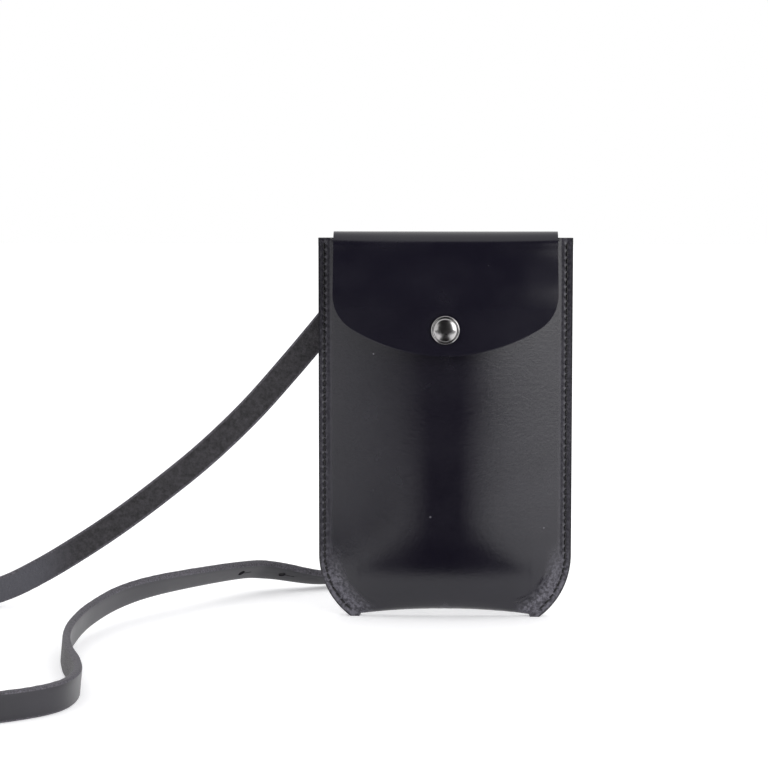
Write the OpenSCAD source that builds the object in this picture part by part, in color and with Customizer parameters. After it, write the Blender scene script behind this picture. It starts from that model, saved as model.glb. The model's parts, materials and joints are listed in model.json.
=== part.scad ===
// Slim leather ever ready case: a sewn pouch with a dome front, a flap with a press stud,
// and one long flat strap fixed to its back.
// X runs across the case, the front faces -Y, Z is up. The origin is under the middle of the feet.

/* [Pouch] */
// Width of the pouch over its sewn edges
panel_w = 112; // [90:1:140]
// Height of the sewn side edges
panel_h = 168.5; // [135:0.5:210]
// Thickness of the leather of the panels and the flap
leather_t = 2.2; // [1.6:0.1:3]
// Inside depth of the pocket at its middle
pocket_depth = 16; // [10:0.5:22]
// Width of the flat sewn edge
flange_w = 5; // [4:0.5:8]
// Radius of the cut lower corners
corner_r = 35; // [29:1:42]
// Height at which the lower corners start to turn in
corner_h = 28; // [22:1:33]
// Width of each foot, where a sewn edge meets the floor
foot_w = 4; // [3:0.5:6]
// Step from a foot up to the bottom fold
foot_step = 0.9; // [0.5:0.1:1.5]
// Rise of the bottom fold at its middle
base_arch = 2.5; // [1.5:0.5:6]
// Width of the flat middle of the dome
plateau_w = 12; // [8:1:16]
// Height over which the dome fills out above the bottom fold
belly_h = 48; // [38:1:60]
// Depth of the cut in the mouth of the front panel
mouth_cut = 10; // [8:1:16]

/* [Flap] */
// Distance from the side of the pouch to the side of the flap
flap_inset = 7; // [4:0.5:9]
// Drop from the top of the side edges to the line where the flap bends
fold_drop = 4.5; // [2:0.5:6]
// Height of the rounded fold over that line
fold_h = 7.5; // [6:0.5:10]
// Length of the flap below that line
flap_len = 46; // [38:0.5:56]
// Radius of the flap's two corners
flap_corner_r = 17.5; // [14:0.5:21]
// Radius of the flap's bottom edge
flap_tip_r = 78; // [74:1:95]
// Clearance between the flap and the dome at their middle
flap_gap = 0.4; // [0.3:0.1:0.8]
// How far the flap's sides lie back from its middle
flap_sag = 3; // [1:0.5:4]

/* [Press stud] */
// Height of the press stud above the flap's tip
snap_rise = 11.4; // [9:0.2:14]
// Diameter of the cap
cap_d = 12.5; // [10:0.5:15]
// Height of the cap
cap_h = 2.1; // [1.5:0.1:3]
// Diameter of the socket under the flap
socket_d = 10.4; // [9.5:0.1:12]
// Height of the socket
socket_h = 2.2; // [2:0.1:3]
// Diameter of the stud's knob
knob_d = 3.6; // [3:0.1:4]
// Height of the stud's knob above its base
knob_h = 1.8; // [1.5:0.1:2]
// Diameter of the hollow post that holds each half
post_d = 2.5; // [2:0.1:2.6]

/* [Seams] */
// Distance from the cut edge to the stitches
stitch_inset = 2.6; // [2:0.1:3.2]
// Distance from one stitch to the next
stitch_pitch = 3.2; // [2.6:0.1:4]
// Length of one stitch
stitch_len = 2.5; // [1.8:0.1:2.5]
// Thickness of the thread
thread_d = 0.8; // [0.5:0.1:1]

/* [Strap] */
// Width of the strap
strap_w = 11.5; // [9:0.5:14]
// Thickness of the strap
strap_t = 3.2; // [2.4:0.1:4]
// Distance from the side of the pouch to a strap fastener
strap_inset = 23; // [18:1:28]
// Distance from the top of the side edges to a strap fastener
strap_drop = 13.5; // [10:0.5:16]
// Angle of the strap's left end to the vertical
strap_lean = 40; // [20:1:60]
// Length of the strap's left end below its rivet
left_tail = 14; // [11:0.5:18]
// Length of the strap's right end below its stud
right_tail = 17; // [12:0.5:20]
// Diameter of the rivet's cap
rivet_d = 9.5; // [8:0.5:11]
// Diameter of the rivet's shank
shank_d = 3; // [2.5:0.1:3.5]
// Diameter of the round head of the collar stud
ball_d = 7.6; // [7:0.1:9]
// Diameter of the neck of the collar stud
neck_d = 4.6; // [4.4:0.1:5]

/* [Hidden] */

leather = "#2a2830";
edge_leather = "#3c3a40";
thread = "#0c0b0e";
nickel = "#c9c9cc";
steel = "#8d8f94";

fit = 0.05;            // running clearance of a post in metal
hole_play = 0.1;       // clearance of a post in a leather hole
lay_gap = 0.1;         // gap between two layers that lie on each other
slit_gap = 0.4;        // cut between the flap and the ears of the back panel

half_w = panel_w / 2;
corner_x0 = half_w - corner_r;
foot_out = corner_x0 + sqrt(pow(corner_r, 2) - pow(corner_h, 2));
foot_in = foot_out - foot_w;
step_run = 0.6;        // width of the slope from a foot to the bottom fold
arch_a = foot_in - step_run;
arch_r = (pow(arch_a, 2) + pow(base_arch, 2)) / (2 * base_arch);

flap_half = half_w - flap_inset;
hinge_z = panel_h - fold_drop;
tip_z = hinge_z - flap_len;
snap_z = tip_z + snap_rise;
snap_seat = cap_d / 2 + 2.5;      // radius of the flat seat around the press stud
taper_z = snap_z + snap_seat;     // height at which the dome starts to draw in to the mouth
mouth_share = 0.6;                // the dome's depth at the top, as a share of its middle
dome_power = 1.7;                 // roundness of the dome from side to side
belly_power = 2.5;                // roundness of the dome above the bottom fold

base_t = 0.6;                     // thickness of the stud's base and of the post's flange
base_d = socket_d - 1.4;
snap_play = 0.4;                  // gap from the socket to the stud's base
snap_gap = base_t + snap_play + socket_h;
stud_y = -(pocket_depth + leather_t);
socket_y = stud_y - snap_gap;     // inner face of the flap at the press stud
cap_y = socket_y - leather_t;
socket_floor = 0.3;

fastener_x = half_w - strap_inset;
fastener_z = panel_h - strap_drop;
washer_t = 0.5;
head_t = 0.7;
collar_base_t = 1;                // base of the collar stud, between the back panel and the strap
left_y = leather_t + lay_gap;
right_y = leather_t + collar_base_t + lay_gap;
neck_h = strap_t + 2 * lay_gap + 0.4;
ball_y = leather_t + collar_base_t + neck_h + sqrt(pow(ball_d / 2, 2) - pow(neck_d / 2, 2));

// The origin is midway between the cap's front and the collar stud's back
seam_y = round((cap_h - cap_y - ball_y - ball_d / 2) / 2);

function clamp01(v) = max(0, min(1, v));
function smooth(v) = let (c = clamp01(v)) c * c * (3 - 2 * c);

// Outline of the pouch: half width at height z, and lowest point at distance x
function side_x(z) = z >= corner_h ? half_w
    : corner_x0 + sqrt(pow(corner_r, 2) - pow(corner_h - z, 2));
function arch_z(x) = foot_step + sqrt(pow(arch_r, 2) - x * x) - sqrt(pow(arch_r, 2) - pow(arch_a, 2));
function base_z(x) = let (a = abs(x))
    a > foot_out ? corner_h - sqrt(max(0, pow(corner_r, 2) - pow(a - corner_x0, 2)))
    : a >= foot_in ? 0
    : a > arch_a ? foot_step * (foot_in - a) / step_run
    : arch_z(x);

// The dome: how far it stands out from the sewn plane at (x, z)
function flange_x(z) = z >= corner_h ? flange_w
    : flange_w * corner_r / sqrt(pow(corner_r, 2) - pow(corner_h - z, 2));
function rise(x, z) = let (full = side_x(z) - flange_x(z))
    1 - pow(1 - clamp01((full - abs(x)) / (full - plateau_w / 2)), dome_power);
function belly(v) = sqrt(1 - pow(1 - clamp01(v / belly_h), belly_power));
function neck(z) = 1 - (1 - mouth_share) * smooth((z - taper_z) / (panel_h - taper_z));
function hem(x, z) = abs(x) >= foot_in ? 1
    : sqrt(1 - pow(1 - clamp01((z - base_z(x)) / leather_t), 2));
function dome_in(x, z) = pocket_depth * rise(x, z) * neck(z) * belly(z - base_z(x) - leather_t);
function dome_out(x, z) = leather_t * hem(x, z)
    + pocket_depth * rise(x, z) * neck(z) * belly(z - base_z(x));

// Columns of the front panel, from the middle out: the fold, the foot, then the corner's arc
fold_cols = [for (i = [0:7]) arch_a * i / 7];
arc_cols = [for (i = [5:-1:0]) corner_x0 + corner_r * cos(asin(corner_h / corner_r) * i / 6)];
half_cols = concat(fold_cols, [foot_in, foot_out], arc_cols);
front_cols = concat([for (i = [len(half_cols) - 1:-1:1]) -half_cols[i]], half_cols);
front_rows = 20;
seat_row = 14;         // row that runs along the height where the dome starts to draw in
ear_round = 2.5;       // width of the rounded inner corner of each ear of the front panel
function top_z(x) = panel_h - mouth_cut * smooth((flap_half + ear_round - abs(x)) / 9);
function row_z(j, lo, hi) = j <= seat_row ? lo + (taper_z - lo) * pow(j / seat_row, 1.8)
    : taper_z + (hi - taper_z) * (j - seat_row) / (front_rows - seat_row);

// A closed sheet from two grids of points, given column by column
module sheet(outer, inner) {
    n = len(outer);
    m = len(outer[0]);
    flat_points = concat([for (c = outer) each c], [for (c = inner) each c]);
    o = n * m;
    rim = concat([for (i = [0:n - 1]) i * m], [for (j = [1:m - 1]) (n - 1) * m + j],
                 [for (i = [n - 2:-1:0]) i * m + m - 1], [for (j = [m - 2:-1:1]) j]);
    k = len(rim);
    polyhedron(flat_points, concat(
        [for (i = [0:n - 2], j = [0:m - 2]) each let (a = i * m + j)
            [[a, a + 1, a + m + 1], [a, a + m + 1, a + m]]],
        [for (i = [0:n - 2], j = [0:m - 2]) each let (a = o + i * m + j)
            [[a, a + m + 1, a + 1], [a, a + m, a + m + 1]]],
        [for (i = [0:k - 1]) each let (a = rim[i], b = rim[(i + 1) % k])
            [[a, b, b + o], [a, b + o, a + o]]]));
}

// Pieces are placed from the sewn plane, which stands seam_y behind the origin
module on_seam() {
    translate([0, seam_y, 0]) children();
}

// A cylinder along Y, from y0 towards the front, at height z
module y_cylinder(x, z, y0, len, d) {
    translate([x, y0, z]) rotate([90, 0, 0]) cylinder(d = d, h = len, $fn = 48);
}

module front_shell() {
    outer = [for (x = front_cols) let (lo = base_z(x), hi = top_z(x))
        [for (j = [0:front_rows]) let (z = row_z(j, lo, hi)) [x, -dome_out(x, z), z]]];
    inner = [for (x = front_cols)
        let (lo = base_z(x) + (abs(x) < foot_in ? leather_t : 0), hi = top_z(x))
        [for (j = [0:front_rows]) let (z = row_z(j, lo, hi)) [x, -dome_in(x, z), z]]];
    sheet(outer, inner);
}

module front_panel() {
    on_seam() color(leather) difference() {
        front_shell();
        y_cylinder(0, snap_z, -pocket_depth + 1, leather_t + 2, post_d + 2 * hole_play);
    }
}

module back_outline() {
    difference() {
        union() {
            translate([-half_w, corner_h]) square([panel_w, panel_h - corner_h]);
            translate([-foot_out, 0]) square([2 * foot_out, corner_h]);
            for (s = [-1, 1]) intersection() {
                translate([s * corner_x0, corner_h]) circle(r = corner_r, $fn = 96);
                translate([-half_w, 0]) square([panel_w, corner_h]);
            }
        }
        translate([0, foot_step + base_arch - arch_r]) intersection() {
            circle(r = arch_r, $fn = 180);
            translate([-arch_a, 0]) square([2 * arch_a, arch_r]);
        }
        translate([-foot_in, -1]) square([2 * foot_in, 1 + foot_step]);
        translate([-flap_half - slit_gap, hinge_z]) square([2 * (flap_half + slit_gap), panel_h]);
    }
}

module back_panel() {
    on_seam() color(leather) difference() {
        translate([0, leather_t, 0]) rotate([90, 0, 0]) linear_extrude(leather_t) back_outline();
        for (s = [-1, 1]) y_cylinder(s * fastener_x, fastener_z, leather_t + 1, leather_t + 2,
                                     shank_d + 2 * hole_play);
    }
}

// Flap: a corner arc that runs into a shallow bottom arc
flap_cx = flap_half - flap_corner_r;
flap_cz = tip_z + flap_tip_r - sqrt(pow(flap_tip_r - flap_corner_r, 2) - pow(flap_cx, 2));
flap_turn = asin(flap_cx / (flap_tip_r - flap_corner_r));
flap_cols = let (
    mid = [for (i = [0:9]) flap_tip_r * sin(flap_turn * i / 9)],
    arc = [for (i = [1:6]) let (a = flap_turn + (90 - flap_turn) * i / 6) flap_cx + flap_corner_r * sin(a)],
    half = concat(mid, arc))
    concat([for (i = [len(half) - 1:-1:1]) -half[i]], half);
function flap_low(x) = let (a = abs(x))
    a <= flap_tip_r * sin(flap_turn) ? tip_z + flap_tip_r - sqrt(pow(flap_tip_r, 2) - a * a)
    : flap_cz - sqrt(max(0, pow(flap_corner_r, 2) - pow(a - flap_cx, 2)));
flap_rows = 14;
fold_rows = 10;

function flap_in(x, z) = leather_t + pocket_depth * neck(z) + flap_gap
    + (snap_gap - flap_gap) * (1 - smooth((abs(z - snap_z) - snap_seat) / (flap_len - snap_seat)))
    - flap_sag * pow(max(0, abs(x) - snap_seat) / (flap_half - snap_seat), 2);

// Columns of the leather over the mouth: a half ellipse from the back to the front.
// out is 0 for the inner face and the leather's thickness for the outer one.
function fold_column(x, out) = let (front = flap_in(x, hinge_z))
    [for (i = [0:fold_rows]) let (a = 180 * i / fold_rows)
        [x, -front / 2 + (front / 2 + out) * cos(a),
         hinge_z + lay_gap + (fold_h - lay_gap - leather_t + out) * sin(a)]];

// Columns of the flap, down the front from the end of the fold
function flap_column(x, out) = let (high = hinge_z - lay_gap, low = flap_low(x))
    [for (j = [0:flap_rows]) let (z = high + (low - high) * j / flap_rows) [x, -flap_in(x, z) - out, z]];

module flap_fold() {
    on_seam() color(leather)
        sheet([for (x = flap_cols) fold_column(x, 0)], [for (x = flap_cols) fold_column(x, leather_t)]);
}

module flap() {
    on_seam() color(leather) difference() {
        sheet([for (x = flap_cols) flap_column(x, 0)], [for (x = flap_cols) flap_column(x, leather_t)]);
        y_cylinder(0, snap_z, socket_y + 1, leather_t + 2, post_d + 2 * hole_play);
    }
}

// Seam line from the foot up, at distance s along it: [x, z, angle]
seam_r = corner_r - stitch_inset;
seam_start = 3.4;      // height of the lowest stitch
seam_a = asin((corner_h - seam_start) / seam_r);
seam_arc = seam_r * seam_a * PI / 180;
seam_len = seam_arc + panel_h - corner_h - 1;
function seam_at(s) = s < seam_arc
    ? let (a = seam_a * (1 - s / seam_arc)) [corner_x0 + seam_r * cos(a), corner_h - seam_r * sin(a), a]
    : [half_w - stitch_inset, corner_h + s - seam_arc, 0];
stitch_count = floor(seam_len / stitch_pitch);
slant = 5;             // slant of each stitch to the seam line

module stitches(side, y) {
    on_seam() color(thread) for (i = [0:stitch_count - 1]) let (p = seam_at((i + 0.5) * stitch_pitch))
        translate([side * p[0], y, p[1]]) rotate([0, side * (p[2] + slant), 0])
            cylinder(d = thread_d, h = stitch_len, center = true, $fn = 8);
}

module needle_thread_left() stitches(-1, -leather_t - thread_d / 2);
module needle_thread_right() stitches(1, -leather_t - thread_d / 2);
module bobbin_thread_left() stitches(-1, leather_t + thread_d / 2);
module bobbin_thread_right() stitches(1, leather_t + thread_d / 2);

// A turned piece along Y: profile points are [radius, distance towards the front]
module turned(x, z, y0, profile) {
    translate([x, y0, z]) rotate([90, 0, 0]) rotate_extrude($fn = 64) polygon(profile);
}

rim_t = 0.9;           // height of the cap's rolled rim
cavity_d = knob_d + 2.8;   // mouth of the socket
spring_t = 0.4;        // thickness of the socket's spring
spring_y = 0.9;        // distance from the socket's mouth to its spring
spring_d = cavity_d + 0.8; // outside diameter of the spring

module snap_cap() {
    r = cap_d / 2;
    dome = [for (i = [0:8]) let (a = 90 * i / 8)
        [(r - rim_t) * cos(a), rim_t + (cap_h - rim_t) * sin(a)]];
    roll = [for (i = [0:8]) let (a = 180 * i / 8 - 90)
        [r - rim_t / 2 + rim_t / 2 * cos(a), rim_t / 2 + rim_t / 2 * sin(a)]];
    on_seam() color(nickel) union() {
        turned(0, snap_z, cap_y, concat([[0, 0]], roll, dome));
        y_cylinder(0, snap_z, socket_y + socket_floor, leather_t + socket_floor + 0.2, post_d);
        y_cylinder(0, snap_z, socket_y + socket_floor + 0.15, 0.15, post_d + 0.8);
    }
}

module snap_socket() {
    r = socket_d / 2;
    c = cavity_d / 2;
    s = spring_d / 2 + fit;
    deep = socket_h - socket_floor;
    s0 = spring_y - fit;
    s1 = spring_y + spring_t + fit;
    on_seam() color(steel) turned(0, snap_z, socket_y + socket_h, [
        [c, 0], [r - 0.5, 0], [r, 0.5], [r, socket_h],
        [post_d / 2 + fit, socket_h], [post_d / 2 + fit, deep], [c, deep],
        [c, s1], [s, s1], [s, s0], [c, s0]]);
}

module snap_spring() {
    on_seam() color(nickel) difference() {
        turned(0, snap_z, socket_y + socket_h - spring_y, [
            [knob_d / 2 + fit, 0], [spring_d / 2, 0], [spring_d / 2, spring_t],
            [knob_d / 2 + fit, spring_t]]);
        translate([0, socket_y + socket_h - spring_y - spring_t - 1, snap_z - 0.4])
            cube([spring_d, spring_t + 2, 0.8]);
    }
}

module snap_stud() {
    k = knob_d / 2;
    bore = post_d / 2 + fit;
    top = base_t + knob_h;
    on_seam() color(nickel) turned(0, snap_z, stud_y, [
        [bore, 0], [base_d / 2, 0], [base_d / 2, base_t * 0.6], [base_d / 2 - 0.4, base_t],
        [k - 0.25, base_t], [k - 0.25, base_t + 0.4], [k, base_t + 0.9], [k, top - 0.5],
        [k - 0.4, top], [0, top], [0, top - 0.4], [bore, top - 0.4]]);
}

module snap_post() {
    on_seam() color(steel) union() {
        y_cylinder(0, snap_z, -pocket_depth + lay_gap + base_t, base_t, base_d);
        y_cylinder(0, snap_z, -pocket_depth + lay_gap, leather_t + lay_gap + base_t + knob_h - 0.5, post_d);
    }
}

end_r = strap_w / 2;

end_gap = 0.5;         // cut between a strap end and the free strap

// A flat strap end with its round tip at the fastener: len runs below the fastener
module strap_tab(x, y, lean, len, hole) {
    translate([x, y + strap_t, fastener_z]) rotate([0, lean, 0]) rotate([90, 0, 0])
        linear_extrude(strap_t) difference() {
            union() {
                translate([0, end_r * 0.4]) circle(r = end_r, $fn = 64);
                translate([-end_r, end_gap - len]) square([strap_w, len - end_gap + end_r * 0.4]);
            }
            circle(d = hole, $fn = 48);
        }
}

module strap_end_left() {
    on_seam() color(leather) strap_tab(-fastener_x, left_y, strap_lean, left_tail, shank_d + 2 * hole_play);
}

module strap_end_right() {
    on_seam() color(leather) strap_tab(fastener_x, right_y, 0, right_tail, neck_d + 2 * hole_play);
}

module rivet_cap() {
    r = rivet_d / 2;
    bore = shank_d / 2 + fit;
    dome = [for (i = [0:8]) let (a = 90 * i / 8) [r * cos(a), -0.5 - 1.7 * sin(a)]];
    on_seam() color(nickel) turned(-fastener_x, fastener_z, left_y + strap_t,
        concat([[bore, -1.2], [bore, 0], [r - 0.3, 0], [r, -0.3]], dome, [[0, -1.2]]));
}

module rivet_post() {
    grip = washer_t + leather_t + lay_gap + strap_t;
    on_seam() color(steel) union() {
        y_cylinder(-fastener_x, fastener_z, -washer_t, head_t, rivet_d - 1.5);
        y_cylinder(-fastener_x, fastener_z, grip - washer_t + 1, grip + 1, shank_d);
    }
}

module washer(x) {
    on_seam() color(steel) difference() {
        y_cylinder(x, fastener_z, 0, washer_t, rivet_d);
        y_cylinder(x, fastener_z, 1, washer_t + 2, shank_d + 2 * fit);
    }
}

module rivet_washer() washer(-fastener_x);
module collar_washer() washer(fastener_x);

module collar_stud() {
    n = neck_d / 2;
    b = ball_d / 2;
    bore = shank_d / 2 + fit;
    deep = 5.2;
    a0 = asin(n / b);
    ball = [for (i = [0:12]) let (a = a0 + (180 - a0) * i / 12)
        [b * sin(a), leather_t - ball_y + b * cos(a)]];
    on_seam() color(nickel) turned(fastener_x, fastener_z, leather_t,
        concat([[bore, 0], [rivet_d / 2, 0], [rivet_d / 2, -collar_base_t * 0.6],
                [rivet_d / 2 - 0.4, -collar_base_t], [n, -collar_base_t]], ball,
               [[0, -deep], [bore, -deep]]));
}

module collar_screw() {
    on_seam() color(steel) difference() {
        union() {
            y_cylinder(fastener_x, fastener_z, -washer_t, head_t, rivet_d - 1.5);
            y_cylinder(fastener_x, fastener_z, leather_t + 5, leather_t + washer_t + 5, shank_d);
        }
        translate([fastener_x - rivet_d / 2, -washer_t - head_t - 1, fastener_z - 0.4])
            cube([rivet_d, 1.3, 0.8]);
    }
}

// Route of the free strap: [x, y, z] of its middle, then the way its grain side faces
strap_route = [
    [[-42, 9.9, 144.3], [0, 1, 0]], [[-48.1, 10.8, 136.4], [0, 1, 0]],
    [[-56.2, 12.5, 126.3], [0, 1, 0]], [[-71.6, 15.5, 108.1], [0, 1, 0]],
    [[-87.9, 18.5, 89.9], [0, 1, 0]], [[-107.3, 22.5, 71.2], [0, 1, 0]],
    [[-126.7, 27, 55], [0, 1, 0]], [[-147.5, 30.5, 39.1], [0.1, 1, 0]],
    [[-166.2, 32.5, 26.4], [0, 1, 0]], [[-185.3, 30, 15.1], [-0.2, 1, 0]],
    [[-202.3, 22, 7.9], [-0.45, 0.9, 0]], [[-222, 8, 5.9], [-0.6, 0.8, 0]],
    [[-243, -9.5, 5.9], [-0.7, 0.7, 0]], [[-263, -30, 5.9], [-0.8, 0.6, 0]],
    [[-279, -54, 5.9], [-0.9, 0.45, 0]], [[-290, -82, 5.9], [-1, 0.25, 0]],
    [[-294.5, -110, 5.9], [-1, 0, 0]], [[-292, -138, 5.9], [-1, -0.3, 0]],
    [[-281, -163.5, 5.9], [-0.85, -0.55, 0]], [[-263, -184, 5.9], [-0.6, -0.8, 0]],
    [[-241, -196, 5.9], [-0.3, -1, 0]], [[-197, -212.3, 5.9], [-0.1, -1, 0]],
    [[-171.1, -209.3, 5.9], [0.3, -1, 0]], [[-153.6, -200.2, 5.9], [0.6, -0.9, -0.1]],
    [[-142, -186, 5.9], [0.9, -0.4, -0.1]], [[-139.2, -165.8, 5.9], [1, 0.1, -0.1]],
    [[-143.1, -143, 5.9], [1, 0.25, -0.1]], [[-149.5, -120.3, 6], [1, 0.15, -0.1]],
    [[-154, -95.5, 6.3], [1, 0, -0.1]], [[-155, -70.5, 7.2], [1, -0.1, -0.15]],
    [[-151.6, -43.3, 9.3], [0.9, -0.3, -0.3]], [[-141.8, -15.6, 12], [0.8, -0.5, -0.45]],
    [[-125.3, 9.4, 13.4], [0.7, -0.6, -0.7]], [[-95.2, 48.9, 12.6], [0.6, -0.65, -0.95]],
    [[-81.3, 63.5, 10.2], [0.5, -0.65, -1]], [[-58.3, 74, 5], [0.3, -0.45, -0.95]],
    [[-36, 84, 4.9], [0.15, -0.4, -1]], [[-10, 86, 6], [0.2, -0.3, -1]],
    [[14, 76, 14.5], [0.6, 0, -0.9]], [[27.5, 58, 34], [0.9, 0.2, -0.4]],
    [[33.5, 40, 60], [0.8, 0.6, 0]], [[34.5, 25, 87], [0.5, 0.9, 0.2]],
    [[33.5, 14.5, 113], [0.2, 1, 0.1]], [[33, 10.9, 138], [0, 1, 0]]];
strap_sides = 8;
strap_steps = 2;       // rings from one route point to the next

function unit(v) = v / norm(v);
function spline(a, b, c, d, t) = 0.5 * (2 * b + (c - a) * t + (2 * a - 5 * b + 4 * c - d) * t * t
    + (3 * b - a - 3 * c + d) * t * t * t);
function route(k, i, t) = let (n = len(strap_route) - 1)
    spline(strap_route[max(0, i - 1)][k], strap_route[i][k], strap_route[min(n, i + 1)][k],
           strap_route[min(n, i + 2)][k], t);
strap_points = concat(
    [for (i = [0:len(strap_route) - 2], j = [0:strap_steps - 1]) route(0, i, j / strap_steps)],
    [strap_route[len(strap_route) - 1][0]]);
strap_faces = concat(
    [for (i = [0:len(strap_route) - 2], j = [0:strap_steps - 1]) route(1, i, j / strap_steps)],
    [strap_route[len(strap_route) - 1][1]]);

module strap() {
    n = len(strap_points);
    rings = [for (i = [0:n - 1]) let (
        along = unit(strap_points[min(n - 1, i + 1)] - strap_points[max(0, i - 1)]),
        wide = unit(cross(along, strap_faces[i])),
        thick = cross(wide, along))
        [for (k = [0:strap_sides - 1]) let (a = 360 * (k + 0.5) / strap_sides)
            strap_points[i] + wide * strap_w / 2 * (abs(cos(a)) > 0.7 ? sign(cos(a)) : sign(cos(a)) * 0.8)
            + thick * strap_t / 2 * (abs(sin(a)) > 0.7 ? sign(sin(a)) : sign(sin(a)) * 0.5)]];
    s = strap_sides;
    color(edge_leather) polyhedron([for (r = rings) each r], concat(
        [for (i = [0:n - 2], k = [0:s - 1]) each let (a = i * s + k, b = i * s + (k + 1) % s)
            [[a, b, b + s], [a, b + s, a + s]]],
        [[for (k = [s - 1:-1:0]) k]], [[for (k = [0:s - 1]) (n - 1) * s + k]]));
}

front_panel();
back_panel();
flap_fold();
flap();
needle_thread_left();
needle_thread_right();
bobbin_thread_left();
bobbin_thread_right();
snap_cap();
snap_socket();
snap_spring();
snap_stud();
snap_post();
strap();
strap_end_left();
strap_end_right();
rivet_cap();
rivet_post();
rivet_washer();
collar_stud();
collar_screw();
collar_washer();
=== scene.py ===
# %% [markdown]
# # A slim leather case with a flap, a press stud and a long strap
# The case is one piece of black leather. It is folded at the bottom and sewn up both sides, and its top end
# folds over the mouth as a flap. A press stud closes the flap, and one long flat strap is fixed to the back.
#
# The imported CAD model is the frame: it gives every place and size, and it is never moved. The metal pieces
# stay as they are and only get materials. The leather, the thread, the cap and the strap are made again here
# as smooth meshes that stand for their CAD nodes.

# %% Load the frame
from math import acos, asin, atan2, cos, degrees, exp, floor, hypot, pi, radians, sin, sqrt

import bpy
from mathutils import Matrix, Vector, noise
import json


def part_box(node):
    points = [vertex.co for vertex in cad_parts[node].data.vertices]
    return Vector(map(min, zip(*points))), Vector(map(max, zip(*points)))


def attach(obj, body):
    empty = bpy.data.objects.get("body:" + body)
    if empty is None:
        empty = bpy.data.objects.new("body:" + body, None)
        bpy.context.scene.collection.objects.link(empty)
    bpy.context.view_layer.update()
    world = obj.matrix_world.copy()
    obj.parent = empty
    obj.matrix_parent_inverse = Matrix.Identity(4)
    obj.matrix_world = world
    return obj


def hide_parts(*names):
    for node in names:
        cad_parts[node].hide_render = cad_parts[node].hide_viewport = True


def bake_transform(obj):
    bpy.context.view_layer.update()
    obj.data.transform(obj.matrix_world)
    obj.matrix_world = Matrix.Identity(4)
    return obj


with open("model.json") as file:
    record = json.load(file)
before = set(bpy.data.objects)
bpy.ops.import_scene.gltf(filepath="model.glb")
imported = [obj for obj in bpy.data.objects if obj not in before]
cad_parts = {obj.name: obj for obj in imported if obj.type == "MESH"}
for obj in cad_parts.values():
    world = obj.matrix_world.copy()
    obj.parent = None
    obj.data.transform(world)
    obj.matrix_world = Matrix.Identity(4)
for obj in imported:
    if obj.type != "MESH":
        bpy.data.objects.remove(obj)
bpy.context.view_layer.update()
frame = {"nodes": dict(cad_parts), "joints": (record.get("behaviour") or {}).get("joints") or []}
mm = 0.001

# %% [markdown]
# ## Camera
# A product shot is taken from a little over a metre with a long lens, so upright edges stay upright. The
# camera stands straight in front of the case and a little above it, and looks slightly down and to the left.
# Distances are in metres and angles in degrees.

# %% Place the camera
shot_distance = 1.07
lens_height = 0.205
look_down = 5.373
look_left = 1.444
camera_data = bpy.data.cameras.new("camera")
camera = bpy.data.objects.new("camera", camera_data)
bpy.context.scene.collection.objects.link(camera)
camera.location = (0, -shot_distance, lens_height)
camera.rotation_euler = (radians(90 - look_down), 0, radians(look_left))
camera_data.sensor_width = 36
camera_data.lens = 114.4
camera_data.clip_end = 20
bpy.context.scene.camera = camera
print("camera:", tuple(round(value, 3) for value in camera.location), "lens", camera_data.lens)

# %% [markdown]
# ## Small helpers for modelling
# An operator acts on everything that is selected, so each step starts from nothing selected. A modifier is
# applied as soon as it is set, as it would be by hand.

# %% Helpers for modelling
def only(piece):
    """Select one piece and make it the active one."""
    bpy.ops.object.select_all(action="DESELECT")
    piece.select_set(True)
    bpy.context.view_layer.objects.active = piece


def named(piece, name):
    """Name a piece and its mesh."""
    piece.name = name
    piece.data.name = name
    return piece


def modify(piece, kind, **settings):
    """Add a modifier with its settings, and apply it."""
    only(piece)
    modifier = piece.modifiers.new(kind.lower(), kind)
    for setting, value in settings.items():
        setattr(modifier, setting, value)
    bpy.ops.object.modifier_apply(modifier=modifier.name)


def edit(piece, *steps):
    """Run operators on the whole piece in edit mode. Each step is an operator and its settings."""
    only(piece)
    bpy.ops.object.mode_set(mode="EDIT")
    for operator, settings in steps:
        bpy.ops.mesh.select_all(action="SELECT")
        operator(**settings)
    bpy.ops.object.mode_set(mode="OBJECT")


def smooth(piece, angle):
    """Shade a piece smooth, and keep edges sharper than the angle crisp."""
    only(piece)
    bpy.ops.object.shade_smooth_by_angle(angle=radians(angle))
    return piece


def report(piece):
    """Print how many faces a piece has, and its size in millimetres."""
    sizes = [round(value / mm, 1) for value in piece.dimensions]
    print(piece.name, len(piece.data.polygons), "faces,", sizes, "mm")


# %% [markdown]
# ## Helpers for materials
# Colours are written as the sRGB hex values that a colour picker shows, and one function turns them into the
# linear values that the shader wants. One more function adds a node with its settings and its links.

# %% Helpers for materials
def colour(hex_value):
    """Turn an sRGB hex colour into linear red, green, blue and alpha."""
    channels = [int(hex_value[i:i + 2], 16) / 255 for i in (1, 3, 5)]
    return [c / 12.92 if c <= 0.04045 else ((c + 0.055) / 1.055) ** 2.4 for c in channels] + [1]


def add(tree, kind, inputs=None, **settings):
    """Add a node. A socket given as an input is linked, and a plain value is set."""
    new = tree.nodes.new(kind)
    for setting, value in settings.items():
        setattr(new, setting, value)
    for socket, value in (inputs or {}).items():
        if isinstance(value, bpy.types.NodeSocket):
            tree.links.new(value, new.inputs[socket])
        else:
            new.inputs[socket].default_value = value
    return new


def new_material(name):
    """A material with its Principled shader, and that shader to be filled in."""
    material = bpy.data.materials.new(name)
    material.use_nodes = True
    return material, material.node_tree, material.node_tree.nodes["Principled BSDF"]


def sum_of(tree, first, second, operation="ADD"):
    """The result of one Math node on two values or sockets."""
    return add(tree, "ShaderNodeMath", {0: first, 1: second}, operation=operation).outputs[0]


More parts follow.
